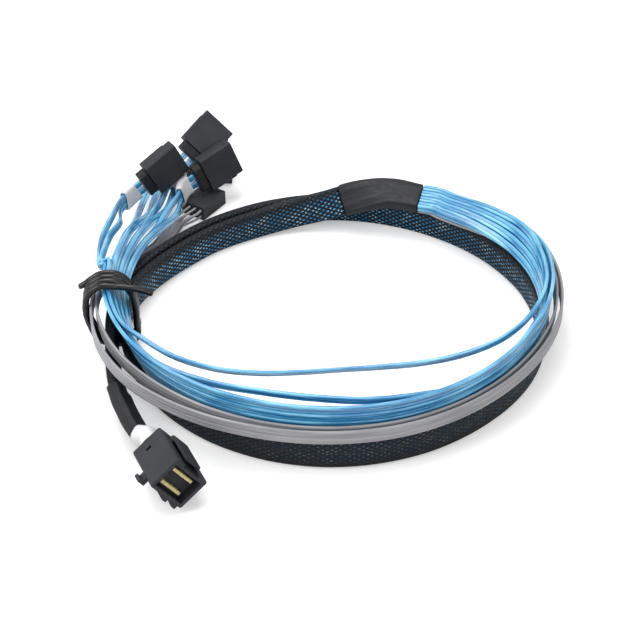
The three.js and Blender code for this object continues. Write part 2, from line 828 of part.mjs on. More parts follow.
function sideHousing() {
  const body = block(sideWidth, sideHeight, sideLength, 0, 0, -sideLength / 2);
  let solid = solidOf(body);
  for (let column = 0; column < sideColumns; column += 1) {
    for (let row = 0; row < sideRows; row += 1) {
      const socket = block(
        sideSocket, sideSocket, sideSocketDepth + overrun,
        (column - (sideColumns - 1) / 2) * sidePitch,
        (row - (sideRows - 1) / 2) * sidePitch,
        (overrun - sideSocketDepth) / 2,
      );
      solid = solid.subtract(solidOf(socket));
    }
  }
  return geometryOf(solid);
}
addPiece('sideband_plug', sideHousing(), housingBlack, sideGroup);

for (let row = 0; row < sideRows; row += 1) {
  for (let column = 0; column < sideColumns; column += 1) {
    const size = sideSocket - 2 * gap;
    const length = sideSocketDepth - 2 * gap;
    const bore = size - 2 * sideContactWall;
    const outline = bandOutline(chamferedOutline(size, size, 0.1), chamferedOutline(bore, bore, 0.1));
    const contact = new THREE.ExtrudeGeometry(outline, { depth: length, bevelEnabled: false });
    contact.translate(
      (column - (sideColumns - 1) / 2) * sidePitch,
      (row - (sideRows - 1) / 2) * sidePitch,
      -sideSocketDepth + gap,
    );
    addPiece(`sideband_contact_${row * sideColumns + column + 1}`, contact, contactGold, sideGroup);
  }
}

export default cable;
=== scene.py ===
import math
import bmesh
import bpy
import numpy as np
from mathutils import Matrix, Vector


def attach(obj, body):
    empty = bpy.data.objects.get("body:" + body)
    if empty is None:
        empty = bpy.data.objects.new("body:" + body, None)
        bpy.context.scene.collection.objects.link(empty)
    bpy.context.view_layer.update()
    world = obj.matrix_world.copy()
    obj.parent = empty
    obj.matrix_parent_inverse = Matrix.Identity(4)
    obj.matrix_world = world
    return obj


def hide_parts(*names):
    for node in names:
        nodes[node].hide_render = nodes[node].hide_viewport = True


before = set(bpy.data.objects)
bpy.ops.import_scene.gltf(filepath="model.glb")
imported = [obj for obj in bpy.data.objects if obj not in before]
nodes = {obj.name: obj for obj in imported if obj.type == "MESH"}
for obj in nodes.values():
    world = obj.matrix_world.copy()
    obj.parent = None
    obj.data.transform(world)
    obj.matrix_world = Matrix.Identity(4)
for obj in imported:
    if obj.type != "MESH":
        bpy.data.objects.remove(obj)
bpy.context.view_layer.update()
print("frame loaded:", len(nodes), "nodes")

mm = 0.001
up = np.array([0.0, 0.0, 1.0])
coilMiddle = np.array([5.44, -8.05, -0.04]) * mm   # the coil's middle, from the frame's origin


# camera, at the photograph's viewing angle

cameraSettings = {
    "target": np.array([-5.3, 6.0, 0.0]) * mm + coilMiddle,
    "distance": 0.520,
    "elevation": 38.0,
    "pictureWidth": 640,
    "focalPixels": 1508.0,       # in a picture of that width
    "sensor": 36.0,              # millimetres
    "near": 0.01,
}


def placeCamera(s):
    data = bpy.data.cameras.new("camera")
    data.sensor_width = s["sensor"]
    data.lens = s["sensor"] * s["focalPixels"] / s["pictureWidth"]
    data.clip_start = s["near"]
    camera = bpy.data.objects.new("camera", data)
    e = math.radians(s["elevation"])
    camera.location = s["target"] + s["distance"] * np.array([0.0, -math.cos(e), math.sin(e)])
    camera.rotation_euler = (math.pi / 2 - e, 0, 0)
    bpy.context.scene.collection.objects.link(camera)
    bpy.context.scene.camera = camera


placeCamera(cameraSettings)
print("camera placed")


# routes: the same stations as the solids, in metres

def unit(v):
    return v / np.linalg.norm(v, axis=-1, keepdims=True)


# Station rows are [angle in degrees, radius, height, lean in degrees] round the coil's middle.
# The place is radius * (cos a, sin a) at that height; width is up turned outwards by the lean.
def stationFrames(rows):
    rows = np.atleast_2d(np.asarray(rows, float))
    a, lean = np.radians(rows[:, :1]), np.radians(rows[:, 3:4])
    outward = np.hstack([np.cos(a), np.sin(a), 0 * a])
    place = outward * rows[:, 1:2] * mm + up * rows[:, 2:3] * mm + coilMiddle
    width = up * np.cos(lean) + outward * np.sin(lean)
    thick = outward * np.cos(lean) - up * np.sin(lean)
    return place, width, thick


def besides(rows, across=0.0, through=0.0):
    place, width, thick = stationFrames(rows)
    return place + width * across + thick * through, width


spanSteps = 24                   # points in each span when its length is measured


# Centripetal Catmull-Rom through the marks: each span is a cubic whose end slopes come from the
# square roots of the three neighbouring chord lengths.
class Route:
    def __init__(self, places, widths):
        self.places = np.asarray(places, float)
        self.widths = np.array(widths, float)
        for i in range(1, len(self.widths)):
            if self.widths[i] @ self.widths[i - 1] < 0:
                self.widths[i] *= -1
        p = self.places
        self.padded = np.vstack([2 * p[0] - p[1], p, 2 * p[-1] - p[-2]])
        self.spots = np.linspace(0, len(p) - 1, len(p) * spanSteps + 1)
        fine = self.curve(self.spots)[0]
        self.run = np.concatenate([[0], np.cumsum(np.linalg.norm(np.diff(fine, axis=0), axis=1))])
        self.length = self.run[-1]

    def curve(self, spots):
        i = np.minimum(spots.astype(int), len(self.places) - 2)
        w = (spots - i)[:, None]
        a, b, c, d = (self.padded[i + k] for k in range(4))
        s0, s1, s2 = (np.sqrt(np.linalg.norm(y - x, axis=1))[:, None] for x, y in ((a, b), (b, c), (c, d)))
        m1 = ((b - a) / s0 - (c - a) / (s0 + s1) + (c - b) / s1) * s1
        m2 = ((c - b) / s1 - (d - b) / (s1 + s2) + (d - c) / s2) * s1
        k2 = -3 * b + 3 * c - 2 * m1 - m2
        k3 = 2 * b - 2 * c + m1 + m2
        return b + m1 * w + k2 * w**2 + k3 * w**3, unit(m1 + 2 * k2 * w + 3 * k3 * w**2)

    # place, direction of travel, width and thickness directions at these distances
    def at(self, distances):
        spots = np.interp(distances, self.run, self.spots)
        place, tangent = self.curve(spots)
        i = np.minimum(spots.astype(int), len(self.places) - 2)
        w = (spots - i)[:, None]
        width = self.widths[i] * (1 - w) + self.widths[i + 1] * w
        width = unit(width - tangent * (width * tangent).sum(1, keepdims=True))
        return place, tangent, width, np.cross(width, tangent)

    def start(self, distance=0.0):
        return [v[0] for v in self.at(np.array([distance]))]


# A plug's own frame from its mating face: across, through and mating directions as columns
def plugFrame(at, heading, climb, roll):
    h, c, r = (math.radians(x) for x in (heading, climb, roll))
    mating = np.array([math.cos(h) * math.cos(c), math.sin(h) * math.cos(c), math.sin(c)])
    level = unit(np.cross(mating, up))
    rise = np.cross(level, mating)
    across = level * math.cos(r) + rise * math.sin(r)
    turn = np.stack([across, np.cross(mating, across), mating], axis=1)
    return {"at": np.array(at) * mm + coilMiddle, "turn": turn}


def inPlug(plug, x, y, z):
    return plug["at"] + plug["turn"] @ (np.array([x, y, z]) * mm)


hostPlug = plugFrame([-46.5, -85.9, 10.9], -67, 7, -126)
drivePlugs = [
    plugFrame([-43.8, 96.1, 25.2], 42, 30, -47),
    plugFrame([-38.0, 86.0, 17.0], 34, 17, -78),
    plugFrame([-57.9, 78.0, 22.0], 35, 25, -87),
    plugFrame([-39.5, 98.05, 2.9], 0, 0, 0),
]
sidePlug = plugFrame([-45.6, 81.0, 3.0], 57, 0, 0)

gapWidth = 0.3                   # between pieces that touch on the real cable, in millimetres
gap = gapWidth * mm
plugSizes = {
    "hostLength": 17.8, "driveLength": 14.0, "reliefLength": 3.6, "leadSpread": 3.2, "sideLength": 14.0,
    "approach": 5,               # a cord runs straight this far behind a plug
}

trunkStations = [
    [226, 85.4, 6.6, 34], [219, 82.9, 6.8, 30], [211, 80.2, 7.0, 24], [203, 77.8, 7.4, 14],
    [194, 75.8, 8.2, 4], [185, 75.1, 8.4, 0], [175, 74.4, 8.2, 0], [163, 72.6, 6.6, 0],
    [149, 70.2, 5.7, 0], [132, 68.4, 5.6, 0], [112, 67.6, 5.6, 0], [92, 67.6, 5.6, 0],
    [74, 67.4, 5.6, 0], [55, 67.6, 5.6, 0], [36, 68.6, 5.6, 0], [16, 69.8, 5.6, 0],
    [-4, 69.8, 5.6, 0], [-24, 68.2, 5.6, 0], [-44, 66.4, 5.6, 0], [-66, 66.0, 5.6, 0],
    [-88, 66.4, 5.6, 0], [-108, 67.0, 5.6, 0], [-128, 67.8, 5.6, 0], [-148, 69.0, 6.0, 0],
    [-164, 70.4, 7.8, 0], [-175, 70.8, 8.4, 0], [-186, 70.2, 8.2, 0], [-198, 68.2, 6.6, 0],
    [-212, 65.6, 5.7, 0], [-228, 64.0, 5.6, 0], [-244, 63.2, 5.7, 4], [-257, 62.8, 7.4, 10],
    [-268, 62.6, 10.0, 22], [-278, 63.2, 13.6, 46], [-288, 65.2, 15.4, 68], [-298, 66.8, 15.0, 78],
]


def trunkRoute():
    behind = [-plugSizes["hostLength"] - gapWidth - extra for extra in (0, plugSizes["approach"])]
    places, widths = besides(trunkStations)
    first = np.array([inPlug(hostPlug, 0, 0, z) for z in behind])
    sideways = np.array([-hostPlug["turn"][:, 0]] * 2)
    return Route(np.vstack([first, places]), np.vstack([sideways, widths]))


trunk = trunkRoute()

bundle = {
    "leadWidth": 2.6 * mm, "leadThick": 1.3 * mm,
    "layerPitch": 1.66 * mm, "rowPitch": 2.9 * mm,
    "rowOfPlug": [1, 0, 3, 2],
    "ribbonThick": 0.95 * mm, "wirePitch": 1.27 * mm, "wires": 4,
    "leadStraight": 6, "ribbonStraight": 5,      # millimetres straight out of the breakout boot
}
bundleStations = [
    [-308, 66.9, 16.2, 80], [-320, 67.9, 17.3, 72], [-334, 69.9, 18.2, 50], [-348, 70.9, 18.6, 24],
    [-364, 70.2, 18.3, 6], [-380, 67.9, 17.9, 0], [-398, 65.7, 17.4, 0], [-416, 64.6, 17.3, 0],
    [-434, 64.4, 17.3, 0], [-452, 64.6, 17.3, 0], [-470, 65.8, 17.3, 0], [-488, 68.2, 17.6, 2],
    [-505, 70.6, 18.1, 10], [-520, 72.0, 18.9, 24], [-535, 73.2, 19.3, 36], [-548, 75.0, 18.4, 42],
]
ownMargin = 4                    # degrees kept free where a lead leaves the bundle or comes back
ownStretches = {
    (2, 0): [
        [-346, 71.2, 23.0, 28], [-362, 69.6, 22.8, 14], [-375, 66.0, 21.4, 8], [-387, 60.6, 19.4, 8],
        [-399, 53.2, 17.4, 14], [-413, 45.4, 15.8, 20], [-430, 39.6, 14.8, 26], [-448, 38.0, 14.4, 30],
        [-466, 41.4, 14.8, 32], [-481, 48.8, 16.2, 32], [-492, 57.0, 18.4, 30], [-502, 64.6, 21.2, 26],
        [-512, 69.6, 23.0, 24],
    ],
    (3, 0): [
        [-421, 62.9, 19.4, 0], [-440, 59.8, 19.8, 2], [-458, 58.2, 19.8, 6], [-474, 59.6, 19.6, 10],
        [-488, 63.8, 19.5, 10],
    ],
}
# the last two numbers are half the distance between a pair's leads, across and through
tailStations = [
    [
        [157, 76.4, 16.6, 46, 0, 0.83], [145, 81.2, 13.4, 44, 0.3, 0.83], [138.5, 86.6, 9.8, 42, 1.2, 0.83],
        [133.2, 92.6, 7.1, 44, 1.6, 0.5], [128.8, 98.5, 8.3, 46, 1.6, 0],
    ],
    [
        [157, 74.0, 14.4, 46, 0, 0.83], [145, 77.2, 12.0, 38, 0.3, 0.83], [136, 82.4, 10.6, 24, 1.6, 0.83],
        [130.5, 88.6, 9.6, 12, 1.6, 0],
    ],
    [
        [174, 79.4, 21.6, 40, 0, 1.1], [161, 84.6, 19.2, 28, 0.3, 1.25], [150, 90.4, 15.6, 16, 1.6, 0.83],
        [143.5, 97.4, 12.6, 6, 1.6, 0],
    ],
    [
        [157, 79.4, 18.2, 46, 0, 0.83], [146.5, 85.6, 12.4, 54, 0.4, 0.83], [138, 95.4, 5.6, 66, 1.7, 0.83],
        [130, 107.6, 3.2, 82, 1.6, 0], [125.6, 113.4, 2.7, 88, 1.6, 0],
    ],
]
rowOffsets = np.array([-1.5, -0.5, 0.5, 1.5]) * bundle["rowPitch"]
layerOffsets = np.array([-0.5, 0.5]) * bundle["layerPitch"]


def pairRoute(plugIndex):
    plug = drivePlugs[plugIndex]
    row = rowOffsets[bundle["rowOfPlug"][plugIndex]]
    tail = np.array(tailStations[plugIndex])
    first, firstWidth = besides(bundleStations[-1], row)
    middle, widths = besides(tail)
    entry = -plugSizes["driveLength"] - plugSizes["reliefLength"] - gapWidth
    last = np.array([inPlug(plug, 0, 0, entry - plugSizes["approach"]), inPlug(plug, 0, 0, entry)])
    sideways = np.array([-plug["turn"][:, 0]] * 2)
    places = np.vstack([first, middle, last])
    return places, np.vstack([firstWidth, widths, sideways])


def besidePair(places, widths, across, through):
    route = Route(places, widths)
    spots = np.arange(len(places), dtype=float)
    tangent = route.curve(spots)[1]
    level = unit(widths - tangent * (widths * tangent).sum(1, keepdims=True))
    thick = np.cross(level, tangent)
    return places + level * across[:, None] + thick * through[:, None], level


def leadRoute(plugIndex, side):
    row = rowOffsets[bundle["rowOfPlug"][plugIndex]]
    layer = layerOffsets[side]
    sign = (-1, 1)[side]
    place, tangent, width, thick = trunk.start(trunk.length)
    start = place + width * row + thick * (layer - bundle["ribbonThick"] / 2)
    places = [start + tangent * (gap + distance * mm) for distance in (0, bundle["leadStraight"])]
    widths = [width, width]
    own = ownStretches.get((plugIndex, side), [])
    first, last = (own[0][0], own[-1][0]) if own else (-math.inf, -math.inf)
    before = [s for s in bundleStations if s[0] > first + ownMargin]
    after = [s for s in bundleStations if s[0] < last - ownMargin]
    for rows, across, through in ((before, row, layer), (own, 0, 0), (after, row, layer)):
        if len(rows):
            p, w = besides(rows, across, through)
            places.extend(p)
            widths.extend(w)
    tail = np.array(tailStations[plugIndex])
    half = plugSizes["leadSpread"] / 2
    across = sign * np.concatenate([[0], tail[:, 4], [half, half]]) * mm
    through = sign * np.concatenate([[0], tail[:, 5], [0, 0]]) * mm
    p, w = besidePair(*pairRoute(plugIndex), across, through)
    return Route(np.vstack([places, p[1:]]), np.vstack([widths, w[1:]]))


ribbonStations = [
    [
        [-308, 64.3, 13.3, 80], [-320, 66.2, 13.9, 70], [-334, 71.4, 15.2, 42], [-348, 74.6, 15.6, 14],
        [-364, 73.4, 14.6, 4], [-380, 70.6, 14.2, 0], [-398, 68.3, 14.2, 0], [-416, 67.2, 14.2, 0],
        [-434, 67.0, 14.2, 0], [-452, 67.4, 14.2, 0], [-470, 68.8, 14.3, 0], [-488, 71.8, 15.2, 0],
        [-505, 75.6, 16.6, 0], [-520, 78.2, 16.9, 0], [-535, 79.6, 16.2, 0], [-548, 78.6, 13.4, 0],
        [-560, 76.2, 9.4, 0], [-572, 75.6, 5.4, 12],
    ],
    [
        [-308, 69.7, 14.2, 80], [-320, 71.7, 15.5, 70], [-334, 75.0, 16.4, 44], [-348, 76.4, 15.8, 12],
        [-364, 75.4, 14.4, -2], [-380, 72.6, 13.9, -4], [-398, 70.0, 13.9, 0], [-416, 68.8, 13.9, 0],
        [-434, 68.7, 13.9, 0], [-452, 69.2, 13.9, 0], [-470, 70.9, 14.0, 0], [-488, 75.0, 14.8, 0],
        [-505, 79.6, 16.0, 0], [-520, 81.4, 16.3, 0], [-535, 81.2, 15.8, 0], [-548, 80.2, 13.0, 0],
        [-560, 77.9, 9.0, 0], [-572, 77.6, 4.6, 12],
    ],
]
ribbonEnd = 9.0                  # the wires part this far behind the small plug
sidePitch = 2.54


def ribbonRoute(index):
    sign = (-1, 1)[index]
    place, tangent, width, thick = trunk.start(trunk.length)
    beside = sign * (bundle["wires"] * bundle["wirePitch"] + gap) / 2
    layer = (bundle["layerPitch"] + bundle["leadThick"]) / 2 + gap
    start = place + width * beside + thick * layer
    first = [start + tangent * (gap + distance * mm) for distance in (0, bundle["ribbonStraight"])]
    places, widths = besides(ribbonStations[index])
    behind = [-plugSizes["sideLength"] - z for z in (ribbonEnd, gapWidth)]
    last = [inPlug(sidePlug, 0, sign * sidePitch / 2, z) for z in behind]
    sideways = [-sidePlug["turn"][:, 0]] * 2
    return Route(np.vstack([first, places, last]), np.vstack([[width, width], widths, sideways]))


# surfaces: a grid of sections along a route

# Each vertex is place + thickness * x + width * y, where x and y come from the section's outline.
def sectionGrid(route, distances, x, y):
    place, _, width, thick = route.at(distances)
    x = np.broadcast_to(x, (len(distances), np.shape(x)[-1]))
    y = np.broadcast_to(y, (len(distances), np.shape(y)[-1]))
    return place[:, None] + thick[:, None] * x[..., None] + width[:, None] * y[..., None]


# A closed tube from a grid of rings, with a face over each end. The UV map "run" holds the
# distance along and the distance around, in metres.
def addTube(name, grid, along, closed=True, ends=True):
    rings, around = grid.shape[:2]
    index = np.arange(rings * around).reshape(rings, around)
    step = np.roll(index, -1, axis=1) if closed else index[:, 1:]
    here = index if closed else index[:, :-1]
    quads = np.stack([here[:-1], step[:-1], step[1:], here[1:]], axis=-1).reshape(-1, 4)
    girth = np.linalg.norm(np.roll(grid, -1, axis=1) - grid, axis=2).mean(0)
    v = np.concatenate([[0], np.cumsum(girth)])
    columns = np.broadcast_to(np.arange(here.shape[1]), here[:-1].shape)
    rows = np.broadcast_to(np.arange(rings - 1)[:, None], here[:-1].shape)
    uvs = np.stack([
        np.stack([along[rows + a], v[columns + b]], axis=-1)
        for a, b in ((0, 0), (0, 1), (1, 1), (1, 0))
    ], axis=2).reshape(-1, 2)
    mesh = bpy.data.meshes.new(name)
    faces = quads.tolist()
    if ends:
        faces += [index[0, ::-1].tolist(), index[-1].tolist()]
        uvs = np.vstack([uvs, np.zeros((2 * around, 2))])
    mesh.from_pydata(grid.reshape(-1, 3), [], faces)
    layer = mesh.uv_layers.new(name="run")
    layer.data.foreach_set("uv", uvs.astype(np.float32).ravel())
    mesh.polygons.foreach_set("use_smooth", np.ones(len(faces), bool))
    mesh.update()
    piece = bpy.data.objects.new(name, mesh)
    bpy.context.scene.collection.objects.link(piece)
    return piece


def finishPiece(piece, material, slot, *replaced, body="cable"):
    piece.data.materials.append(material)
    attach(piece, body)
    if replaced:
        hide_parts(*replaced)
    return piece


def evenly(start, end, step):
    return np.linspace(start, end, max(2, round((end - start) / step) + 1))


rimShares = (1.0, 0.7, 0.35)     # where the sections lie in a rounded rim, 1 at its end


# The distances with two more close to each end, and how far the outline has shrunk there, which
# rounds the rim: shrink is 1 - share * (1 - sqrt(1 - s^2)) for s from 0 to 1 into the rim.
def roundedEnds(start, end, step, rim):
    s = np.array(rimShares)
    inner = evenly(start + rim, end - rim, step)
    distances = np.concatenate([start + rim * (1 - s), inner, end - rim * (1 - s[::-1])])
    depth = np.zeros(len(distances))
    depth[:len(s)] = 1 - np.sqrt(1 - s**2)
    depth[-len(s):] = depth[:len(s)][::-1]
    return distances, depth


# Flattened oval: x = sign(cos) tanh(flatness |cos|) / tanh(flatness) and y = sign(sin) |sin|^power,
# each times half its size.
def flatOutline(thick, width, count, flatness=1.6875, power=0.6):
    turn = (np.arange(count) + 0.5) * 2 * np.pi / count
    c, s = np.cos(turn), np.sin(turn)
    x = np.sign(c) * np.tanh(np.abs(c) * flatness) / np.tanh(flatness)
    y = np.sign(s) * np.abs(s) ** power
    return x * thick / 2, y * width / 2, turn


# shader maths

noiseBand = (0.3, 0.7)           # nearly all values of a noise lie between these


class Field:
    def __init__(self, graph, socket):
        self.graph = graph
        self.socket = socket

    def combine(self, operation, first, second=None):
        inputs = {0: first} if second is None else {0: first, 1: second}
        return self.graph.node("ShaderNodeMath", {"operation": operation}, inputs)

    def __add__(self, other):
        return self.combine("ADD", self, other)

    def __radd__(self, other):
        return self.combine("ADD", other, self)

    def __sub__(self, other):
        return self.combine("SUBTRACT", self, other)

    def __rsub__(self, other):
        return self.combine("SUBTRACT", other, self)

    def __mul__(self, other):
        return self.combine("MULTIPLY", self, other)

    def __rmul__(self, other):
        return self.combine("MULTIPLY", other, self)

    def __truediv__(self, other):
        return self.combine("DIVIDE", self, other)

    def __rtruediv__(self, other):
        return self.combine("DIVIDE", other, self)

    def __pow__(self, other):
        return self.combine("POWER", self, other)

    def sine(self):
        return self.combine("SINE", self)

    def absolute(self):
        return self.combine("ABSOLUTE", self)

    def fraction(self):
        return self.combine("FRACT", self)

    def floor(self):
        return self.combine("FLOOR", self)

    # 0 below low, 1 above high, a straight ramp between
    def ramp(self, low, high, toLow=0.0, toHigh=1.0):
        inputs = {"Value": self, "From Min": low, "From Max": high, "To Min": toLow, "To Max": toHigh}
        return self.graph.node("ShaderNodeMapRange", {"interpolation_type": "SMOOTHSTEP"}, inputs)


class Graph:
    def __init__(self, name, **constants):
        self.material = bpy.data.materials.new(name)
        self.material.use_nodes = True
        self.tree = self.material.node_tree
        self.shader = self.tree.nodes["Principled BSDF"]
        for socket, value in constants.items():
            self.shader.inputs[socket.replace("_", " ")].default_value = value

    def node(self, kind, settings=None, inputs=None, output=0):
        made = self.tree.nodes.new(kind)
        for key, value in (settings or {}).items():
            setattr(made, key, value)
        for key, value in (inputs or {}).items():
            self.feed(made.inputs[key], value)
        return Field(self, made.outputs[output])

    def feed(self, socket, value):
        if isinstance(value, Field):
            self.tree.links.new(value.socket, socket)
        else:
            socket.default_value = value

    def mix(self, share, first, second):
        inputs = {0: share, 6: self.colour(first), 7: self.colour(second)}
        return self.node("ShaderNodeMix", {"data_type": "RGBA"}, inputs, 2)

    def colour(self, value):
        return value if isinstance(value, Field) else (*value, 1.0)

    def objectPlace(self):
        return self.node("ShaderNodeTexCoord", output="Object")

    # the distance along and around a cord, in millimetres
    def run(self):
        uv = self.node("ShaderNodeUVMap", {"uv_map": "run"})
        split = self.tree.nodes.new("ShaderNodeSeparateXYZ")
        self.feed(split.inputs[0], uv)
        return Field(self, split.outputs[0]) * 1000, Field(self, split.outputs[1]) * 1000

    def point(self, x, y, z=0.0):
        return self.node("ShaderNodeCombineXYZ", inputs={0: x, 1: y, 2: z})

    def noise(self, scale, detail=2.0, roughness=0.5, at=None):
        place = at or self.objectPlace()
        inputs = {"Vector": place, "Scale": scale, "Detail": detail, "Roughness": roughness}
        return self.node("ShaderNodeTexNoise", inputs=inputs)

    def surface(self, **fields):
        for name, value in fields.items():
            self.feed(self.shader.inputs[name], value)

    def bump(self, height, distance, strength=1.0):
        inputs = {"Height": height, "Distance": distance, "Strength": strength}
        self.feed(self.shader.inputs["Normal"], self.node("ShaderNodeBump", inputs=inputs))


def srgb(code):
    parts = np.array([int(code[i:i + 2], 16) for i in (0, 2, 4)]) / 255
    return tuple(np.where(parts <= 0.04045, parts / 12.92, ((parts + 0.055) / 1.055) ** 2.4))


# Open braid: two families of strands, u/p + v/q and u/p - v/q, each a band of its fractional part;
# what is in neither band is a hole that shows the leads inside. The holes are widest on the face
# that looks into the coil and nearly shut along the edges. On the outer face they are drawn mostly
# shut as painted shade, standing in for the leads inside that lie in shade there.
def braidMaterial(s):
    g = Graph("braid", Specular_IOR_Level=0.22)
    u, v = g.run()
    drift = (g.noise(s["driftScale"]) - 0.5) * s["drift"]
    one = (u / s["along"] + v / s["around"] + drift).fraction()
    two = (u / s["along"] - v / s["around"] + drift + 100).fraction()
    edge = s["strand"] / 2
    strandOne = (one - 0.5).absolute().ramp(edge, edge + s["soft"], 1.0, 0.0)
    strandTwo = (two - 0.5).absolute().ramp(edge, edge + s["soft"], 1.0, 0.0)
    hole = (1 - strandOne) * (1 - strandTwo)
    turn = v / s["girth"] * 2 * math.pi
    faceOpen = turn.sine().absolute().ramp(*s["edgeBand"], 1.0, s["edgeOpen"])
    # painted shade: the holes on the outer face are mostly shut, so that face reads darker as if the leads
    # behind were shaded
    paintedOuterShade = (turn + math.pi / 2).sine().ramp(*s["shadedOuterBand"], 1.0, s["shadedOuterOpen"])
    patches = g.noise(s["patchScale"], 3.0).ramp(0.35, 0.65, s["patchOpen"], 1.0)
    hole = hole * faceOpen * paintedOuterShade * patches
    cell = (u / s["along"] + v / s["around"]).floor() * 3.1
    cell = cell + (u / s["along"] - v / s["around"]).floor() * 7.7
    # painted highlight: white noise per cell turns a few of the holes pale, as glints of light
    glint = g.node("ShaderNodeTexWhiteNoise", {"noise_dimensions": "1D"}, {"W": cell}).ramp(*s["glintBand"])
    leads = g.mix(glint, srgb(s["lead"]), srgb(s["glint"]))
    g.surface(**{
        "Base Color": g.mix(hole, srgb(s["strandColour"]), leads),
        "Roughness": g.noise(s["grain"]).ramp(*noiseBand, s["rough"], s["rough"] + 0.15),
    })
    height = (strandOne * (one - 0.5).absolute().ramp(0.0, 0.5, 1.0, 0.0) + strandTwo) * 0.5
    g.bump(height, s["depth"])
    return g.material


# Thin shrunk skin: fine lengthwise streaks and a low orange-peel
def shrinkMaterial(name, colour, rough):
    g = Graph(name, Specular_IOR_Level=0.25)
    u, v = g.run()
    streaks = g.noise(1.0, 3.0, at=g.point(u * 0.12, v * 1.6))
    peel = g.noise(700.0, 2.0)
    g.surface(**{
        "Base Color": g.mix(streaks.ramp(*noiseBand, 0.0, 0.6), srgb(colour), srgb("26272a")),
        "Roughness": peel.ramp(*noiseBand, rough, rough + 0.14),
    })
    g.bump(streaks * 0.7 + peel * 0.3, 0.00012)
    return g.material


# Glossy jacket over two wires: a darker line of painted shade in the shallow valley, faint cloudiness
def leadMaterial(s):
    g = Graph("blueJacket", Coat_Weight=0.4, Coat_Roughness=0.12, Specular_IOR_Level=0.6)
    u, v = g.run()
    valley = ((v / s["girth"] * 2 * math.pi).sine()).absolute().ramp(0.0, 0.35, 1.0, 0.0)
    cloud = g.noise(1.0, 3.0, at=g.point(u * 0.06, v * 0.4))
    body = g.mix(cloud.ramp(*noiseBand), srgb(s["deep"]), srgb(s["pale"]))
    g.surface(**{
        # painted shade: the valley between the wires is darkened towards the shade colour
        "Base Color": g.mix(valley * s["valley"], body, srgb(s["shade"])),
        "Roughness": cloud.ramp(*noiseBand, s["rough"], s["rough"] + 0.1),
    })
    g.bump(g.noise(1.0, 2.0, at=g.point(u * 0.5, v * 2.2)), 0.00003)
    return g.material


def ribbonMaterial(s):
    g = Graph("greyJacket", Specular_IOR_Level=0.4)
    u, v = g.run()
    cloud = g.noise(1.0, 3.0, at=g.point(u * 0.05, v * 0.7))
    g.surface(**{
        "Base Color": g.mix(cloud.ramp(*noiseBand), srgb(s["deep"]), srgb(s["pale"])),
        "Roughness": cloud.ramp(*noiseBand, s["rough"], s["rough"] + 0.1),
    })
    g.bump(g.noise(1.0, 2.0, at=g.point(u * 0.8, v * 3.0)), 0.00003)
    return g.material


# Moulded plastic: spark-eroded grain, a little cloudiness in the colour
def mouldedMaterial(name, colour, second, rough, grain=1400.0, depth=0.00005, specular=0.25):
    g = Graph(name, Specular_IOR_Level=specular)
    fine = g.noise(grain, 3.0, 0.6)
    cloud = g.noise(90.0, 3.0)
    g.surface(**{
        "Base Color": g.mix(cloud.ramp(*noiseBand), srgb(colour), srgb(second)),
        "Roughness": fine.ramp(*noiseBand, rough, rough + 0.12),
    })
    g.bump(fine, depth)
    return g.material


def goldMaterial():
    g = Graph("goldContact", Metallic=1.0)
    smear = g.noise(600.0, 3.0)
    g.surface(**{
        "Base Color": g.mix(smear, srgb("d8ad55"), srgb("b98a35")),
        "Roughness": smear.ramp(*noiseBand, 0.24, 0.42),
    })
    return g.material


# Board laminate: tan resin with thin glass layers along its edge
def cardMaterial(s):
    g = Graph("cardEdge", Specular_IOR_Level=0.4)
    weave = g.noise(s["scale"], 4.0, 0.7)
    g.surface(**{
        "Base Color": g.mix(weave.ramp(0.35, 0.65), srgb(s["pale"]), srgb(s["deep"])),
        "Roughness": weave.ramp(*noiseBand, 0.35, 0.55),
    })
    g.bump(weave, 0.00003)
    return g.material


def labelMaterial(s):
    g = Graph("paleLabel", Specular_IOR_Level=0.4)
    fibre = g.noise(2600.0, 3.0, 0.6)
    g.surface(**{
        "Base Color": g.mix(g.noise(160.0, 2.0).ramp(*noiseBand), srgb(s["pale"]), srgb(s["grey"])),
        "Roughness": fibre.ramp(*noiseBand, 0.4, 0.6),
    })
    g.bump(fibre, 0.00002)
    return g.material


sleeveSettings = {
    "width": 11.0 * mm, "thick": 3.8 * mm, "around": 72, "step": 2.0 * mm,
    "bootLength": 33 * mm, "breakoutLength": 29 * mm, "wall": 0.45 * mm, "bootEase": 0.4 * mm,
    "ridge": 0.03, "wave": 0.012, "waveLength": 17 * mm, "flatShare": 0.3, "pathStep": 8 * mm,
    "bootRidge": 0.035, "foldLength": 8.5 * mm, "bootStep": 1.2 * mm, "bootRim": 0.5 * mm, "rimDraw": 0.06,
    "braid": {
        "along": 2.7, "around": 1.7, "strand": 0.44, "girth": 27.0, "depth": 0.00025,
        # the braid's outer face is painted darker (painted shade) by how far its holes open there
        "strandColour": "08090b", "lead": "1f77aa", "glint": "b5dcec", "rough": 0.45, "shadedOuterOpen": 0.2,
        "shadedOuterBand": (-0.3, 0.5), "edgeBand": (0.70, 0.95), "edgeOpen": 0.12, "soft": 0.08,
        "driftScale": 60.0, "drift": 0.35, "patchScale": 14.0, "patchOpen": 0.55,
        "glintBand": (0.72, 0.95), "grain": 900.0,
    },
}
